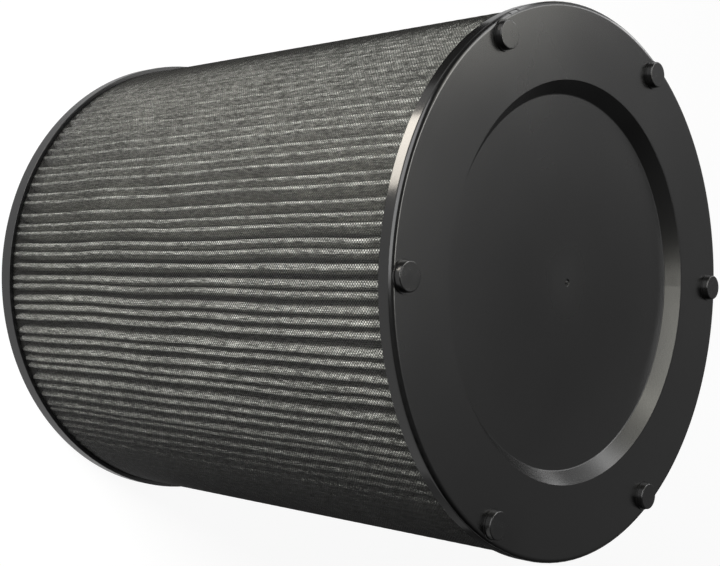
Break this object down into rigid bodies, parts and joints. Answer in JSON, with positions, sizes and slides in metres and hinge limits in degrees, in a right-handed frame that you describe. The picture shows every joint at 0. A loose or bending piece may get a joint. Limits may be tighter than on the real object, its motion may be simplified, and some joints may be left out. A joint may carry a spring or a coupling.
{
  "type": "air purifier filter",
  "caption": "Cylindrical air filter cartridge: folded black media under a fine net, with a closed cap on rubber pads and an open ring with a foam seal.",
  "frame": {"origin": "centre of the foam seal's lower face, on the filter's axis", "axes": "+Z along the axis from the open ring to the closed cap; +X towards the first rubber pad and the seams"},
  "size_m": [0.282, 0.282, 0.3241],
  "materials": {
    "cap_plastic": "fine satin moulded black ABS",
    "ring_plastic": "satin moulded black ABS",
    "pad_rubber": "smooth black rubber",
    "seal_foam": "open black foam",
    "adhesive": "cast black polyurethane",
    "core_plastic": "moulded black polypropylene",
    "carbon_felt": "carbon-loaded felt",
    "filter_sheet": "charcoal non-woven, folded",
    "net": "knitted black polyester net"
  },
  "bodies": {
    "root": {"closed_cap": "cap_plastic", "pad_1": "pad_rubber", "pad_2": "pad_rubber", "pad_3": "pad_rubber", "pad_4": "pad_rubber", "pad_5": "pad_rubber", "pad_6": "pad_rubber", "open_ring": "ring_plastic", "foam_seal": "seal_foam", "ring_adhesive": "adhesive", "cap_adhesive": "adhesive", "inner_core": "core_plastic", "carbon_felt": "carbon_felt", "pleated_media": "filter_sheet", "seam_bead": "adhesive", "net_sleeve": "net"}
  },
  "joints": []
}
